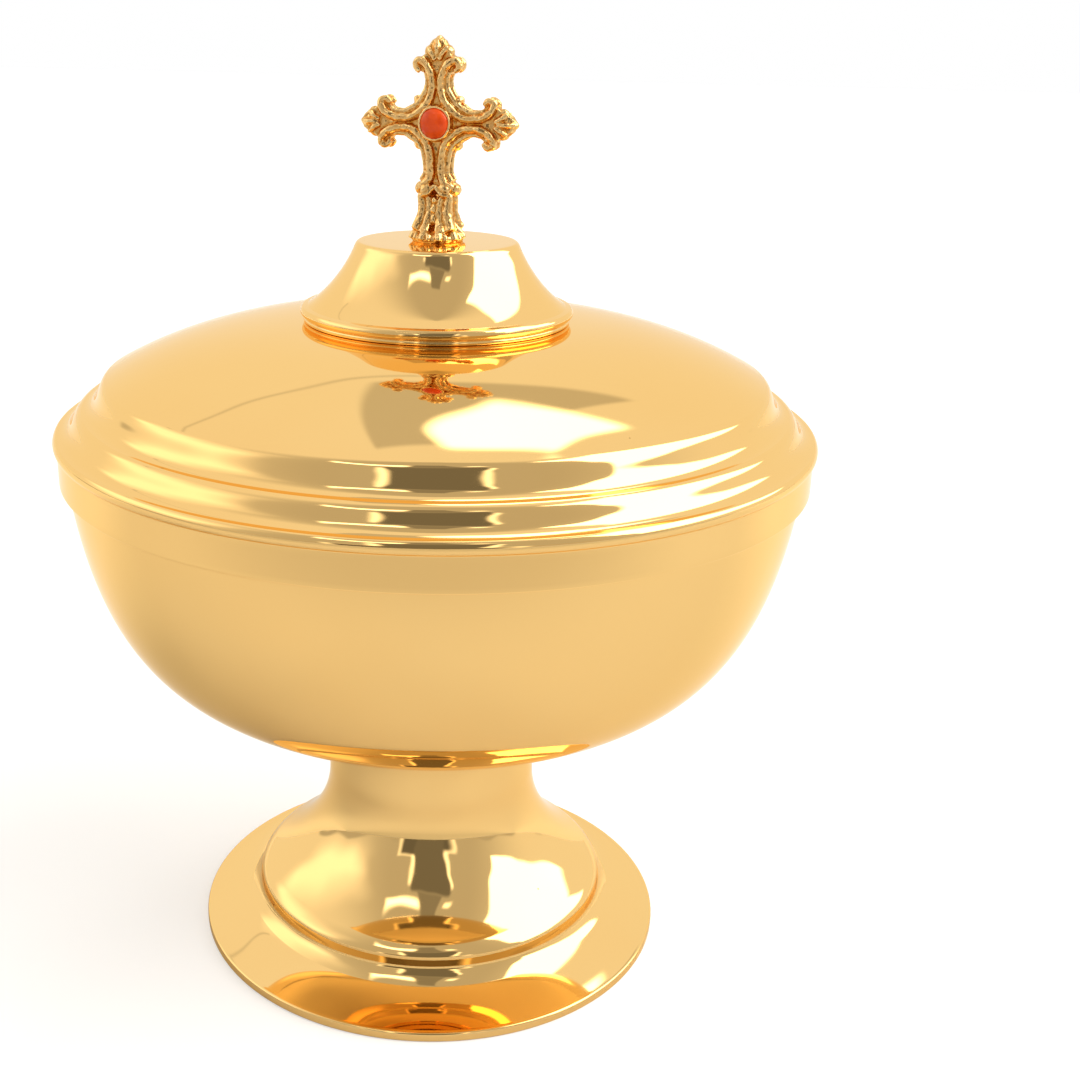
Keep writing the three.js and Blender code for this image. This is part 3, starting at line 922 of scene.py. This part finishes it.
def leaf_ribs(turn_x, turn_z, face):
    """The paired ribs in one quarter of the cross, on its front or its back."""
    def rib(points, upright=False):
        path = []
        for u, v, depth, _ in points:
            x, z = (v, u) if upright else (u, v)
            path.append((turn_x * x, face * depth, turn_z * z))
        return cord(path, [radius for *_, radius in points])

    yield rib(ARM_RIB)
    yield rib(ARM_EDGE)
    if turn_z > 0:
        yield rib(ARM_RIB, upright=True)
        yield rib(ARM_EDGE, upright=True)
    else:
        yield rib(SHAFT_RIB)
        yield rib(SHAFT_EDGE)
        yield rib(NECK_RIB)


def arm_tip(place):
    """The leaf at the end of an arm, laid out along it as (along, across, depth)."""
    yield lump(place(10.9, 0.0, 0.0), (1.55, 1.35, 1.55))
    yield lump(place(12.1, 0.0, 0.0), (0.6, 0.7, 0.6))
    for side in (-1, 1):
        yield lump(place(10.3, 1.35 * side, 0.0), (0.95, 1.15, 0.95))
        yield lump(place(8.5, 3.05 * side, 0.0), (0.85, 1.0, 0.85))
        for face in (-1, 1):
            vein = [place(9.2, 0.35 * side, 1.25 * face), place(10.2, 0.9 * side, 1.35 * face),
                    place(11.1, 1.55 * side, 0.9 * face)]
            yield cord(vein, [0.35, 0.42, 0.28])
    for face in (-1, 1):
        ridge = [place(9.4, 0.0, 1.2 * face), place(10.9, 0.0, 1.45 * face),
                 place(12.2, 0.0, 0.5 * face)]
        yield cord(ridge, [0.25, 0.38, 0.35])


def shaft_pieces():
    """Buds, the knot and the beads below it."""
    for side in (-1, 1):
        yield lump((3.3 * side, 0.0, 3.3), (0.75, 1.1, 0.75))
        yield lump((3.1 * side, 0.0, -3.2), (0.8, 1.1, 0.8))
        yield lump((2.75 * side, 0.0, -9.8), (1.0, 1.35, 1.05))
        yield lump((1.9 * side, 0.0, -8.9), (0.8, 1.2, 0.7))
        for face in (-1, 1):
            yield lump((1.5 * side, 1.6 * face, -9.7), (1.0, 0.7, 0.75), 0.5 * side)
            drape = [(0.0, 1.5 * face, -9.1), (1.2 * side, 1.9 * face, -10.4),
                     (2.5 * side, 1.4 * face, -10.7)]
            yield cord(drape, [0.35, 0.42, 0.40])
    for face in (-1, 1):
        for side in (-1, 1):
            fold = [(1.1 * side, 1.5 * face, -10.9), (0.75 * side, 1.7 * face, -12.6),
                    (1.0 * side, 2.0 * face, -14.4), (1.6 * side, 3.0 * face, -16.2)]
            yield cord(fold, [0.45, 0.55, 0.62, 0.60])
        for height, size in ((-11.4, 0.45), (-12.7, 0.60), (-14.3, 0.75)):
            yield lump((0.0, 1.8 * face, height), (0.8 * size, size, 1.35 * size))


def foot_pieces():
    """The ruffled leaves that spread over the flared base."""
    yield lump((0.0, 0.0, -13.6), (2.5, 2.1, 4.2))
    yield lump((0.0, 0.0, -17.2), (4.1, 4.1, 1.7), sides=24)
    petals = 9
    for i in range(petals):
        angle = 2 * math.pi * (i + 0.5) / petals
        side, front = math.sin(angle), -math.cos(angle)
        for spread, size in ((0.0, 0.62), (0.28, 0.40)):
            a, b = math.sin(angle + spread), -math.cos(angle + spread)
            path = [(2.0 * side, 2.0 * front, -14.0), (2.7 * side, 2.7 * front, -15.6),
                    (3.7 * a, 3.7 * b, -16.6), (4.15 * a, 4.15 * b, -17.3)]
            yield cord(path, [0.5 * size, size, size, 0.85 * size])


def setting_pieces():
    """The bed and the rim that hold the stone."""
    ring = circle(SETTING_RADIUS, 24)
    rim = [(x, -SETTING_FRONT, z) for x, z in ring + ring[:1]]
    yield cord(rim, [0.24] * len(rim), sides=12)
    vertices, faces = slab(circle(BED_RADIUS, 32), BED_DEPTH)
    yield [(x, y - 0.8, z) for x, y, z in vertices], faces
    yield lump((0.0, 1.0, 0.0), (1.8, 0.9, 1.8))


def cross_pieces():
    yield slab(cross_plate(), PLATE_DEPTH)
    for face in (-1, 1):
        for turn_x in (-1, 1):
            for turn_z in (-1, 1):
                yield from leaf_ribs(turn_x, turn_z, face)
    yield from arm_tip(lambda u, v, y: (u, y, v))
    yield from arm_tip(lambda u, v, y: (-u, y, v))
    yield from arm_tip(lambda u, v, y: (v, y, u * TOP_LENGTH / ARM_LENGTH))
    yield from shaft_pieces()
    yield from foot_pieces()
    yield from setting_pieces()


def cast_mesh():
    """All the cross's pieces melted into one skin, with the grain of a casting."""
    vertices, faces = [], []
    for piece_vertices, piece_faces in cross_pieces():
        start = len(vertices)
        vertices.extend(piece_vertices)
        faces.extend(tuple(start + i for i in face) for face in piece_faces)
    rough = bpy.data.meshes.new("cross_rough")
    rough.from_pydata(vertices, [], faces)
    holder = bpy.data.objects.new("cross_rough", rough)
    bpy.context.scene.collection.objects.link(holder)
    melt = holder.modifiers.new("melt", "REMESH")
    melt.mode = "VOXEL"
    melt.voxel_size = CAST_VOXEL
    ease = holder.modifiers.new("ease", "SMOOTH")
    ease.factor = 0.5
    ease.iterations = 2
    depsgraph = bpy.context.evaluated_depsgraph_get()
    mesh = bpy.data.meshes.new_from_object(holder.evaluated_get(depsgraph))
    bpy.data.objects.remove(holder)
    bpy.data.meshes.remove(rough)
    normals = [vertex.normal.copy() for vertex in mesh.vertices]
    for vertex, normal in zip(mesh.vertices, normals):
        place = vertex.co.copy()
        slow, fine = noise.noise(place * 1.1), noise.noise(place * 2.6)
        vertex.co = place + normal * (SLOW_GRAIN * slow + FINE_GRAIN * fine)
    return mesh


def make_cross():
    low, high = node_box("finial_cross")
    middle = low[2] + ARM_HEIGHT
    mesh = cast_mesh()
    for vertex in mesh.vertices:
        x, y, z = vertex.co
        x = max(low[0], min(high[0], x))
        y = max(low[1], min(high[1], y))
        z = max(low[2] - SEAT_GAP, min(high[2], z + middle))
        vertex.co = (x * MM, y * MM, z * MM)
    link("finial_cross_cast", mesh, GILT_CASTING, "lid", "finial_cross")


def make_stone():
    low, high = node_box("red_stone")
    radius, back, front = high[0], high[1], low[1]
    girdle = back + 0.25 * (front - back)
    outline = [(0.0, back), (0.97 * radius, back), (radius, girdle)]
    for i in range(1, 17):
        angle = 0.5 * math.pi * i / 16
        across = 0.0 if i == 16 else radius * math.cos(angle)
        outline.append((across, girdle + (front - girdle) * math.sin(angle)))
    mesh = turned_mesh("red_stone_cut", outline, SMALL_SIDES)
    middle = (low[2] + high[2]) / 2
    for vertex in mesh.vertices:
        x, y, z = vertex.co
        vertex.co = (x, z, y + middle * MM)
    link("red_stone_cut", mesh, RED_STONE, "lid", "red_stone")


# Hidden fasteners of plain brass


def thread(radius, low, high, pitch):
    """The ridges of a thread, from its lower to its upper end."""
    turns = int((high - low) / pitch)
    points = []
    for i in range(turns):
        start = low + (high - low) * i / turns
        points += [(radius - 0.32 * pitch, start + 0.1 * pitch), (radius, start + 0.4 * pitch)]
        points += [(radius, start + 0.6 * pitch), (radius - 0.32 * pitch, start + 0.9 * pitch)]
    return points


def body_of(node):
    """The cup carries its own stud and what sits inside the foot."""
    return "cup" if node in ("bowl_stud", "foot_washer", "foot_nut") else "lid"


def fastener(name, node, outline):
    mesh = turned_mesh(name, outline, SMALL_SIDES)
    link(name, mesh, PLAIN_BRASS, body_of(node), node)
    mesh.set_sharp_from_angle(angle=math.radians(32))


def washer(node, bore):
    low, high = node_box(node)
    radius, bottom, top = high[0], low[2], high[2]
    square = [(bore, bottom), (radius, bottom), (radius, top), (bore, top), (bore, bottom)]
    fastener(node + "_turned", node, soften(square, WASHER_ROUND))


def hex_nut(node, bore, sides=96):
    """A hexagonal nut whose corners are chamfered by a cone."""
    low, high = node_box(node)
    apothem, bottom, top = high[1], low[2], high[2]
    flat = 0.97 * apothem
    vertices, faces = [], []
    for k in range(sides):
        angle = 2 * math.pi * k / sides
        reach = apothem / math.cos(abs(angle % (math.pi / 3) - math.pi / 6))
        drop = 0.55 * (reach - flat)
        rings = [
            (bore, bottom + NUT_EDGE), (bore + NUT_EDGE, bottom),
            (flat, bottom), (reach, bottom + drop),
            (reach, top - drop), (flat, top),
            (bore + NUT_EDGE, top), (bore, top - NUT_EDGE),
        ]
        for radius, height in rings:
            x, y = radius * math.cos(angle), radius * math.sin(angle)
            vertices.append((x * MM, y * MM, height * MM))
    count = len(rings)
    for k in range(sides):
        here, there = k * count, (k + 1) % sides * count
        for i in range(count):
            j = (i + 1) % count
            faces.append((here + i, there + i, there + j, here + j))
    mesh = bpy.data.meshes.new(node + "_cut")
    mesh.from_pydata(vertices, [], faces)
    link(node + "_cut", mesh, PLAIN_BRASS, body_of(node), node)
    mesh.shade_flat()


def make_fasteners():
    low, high = node_box("bowl_stud")
    radius = node_box("foot_washer")[1][0] / 3
    disc_low = node_box("foot_shell")[1][2] - SEAT_DEPTH + SEAT_GAP
    fastener("bowl_stud_turned", "bowl_stud", [
        (0.0, low[2]),
        (radius - 0.6, low[2]),
        *thread(radius, low[2] + 0.5, disc_low - 2.4, STUD_PITCH),
        (radius, disc_low - 2.0),
        (radius, disc_low),
        (high[0] - 0.2, disc_low),
        (high[0], disc_low + 0.2),
        (high[0], high[2] - 0.2),
        (high[0] - 0.2, high[2]),
        (0.0, high[2]),
    ])
    washer("foot_washer", radius + STUD_HOLE_CLEARANCE)
    hex_nut("foot_nut", radius + STUD_HOLE_CLEARANCE)
    low, high = node_box("finial_stud")
    radius = high[0]
    fastener("finial_stud_turned", "finial_stud", [
        (0.0, low[2]),
        (radius - 0.35, low[2]),
        *thread(radius, low[2] + 0.2, high[2] - 0.2, FINIAL_PITCH),
        (radius - 0.35, high[2]),
        (0.0, high[2]),
    ])
    washer("finial_washer", radius + STUD_HOLE_CLEARANCE)
    hex_nut("finial_nut", radius + STUD_HOLE_CLEARANCE)


make_camera()
make_world()
make_floor()
make_lamp()
make_cup()
make_lid()
make_cross()
make_stone()
make_fasteners()
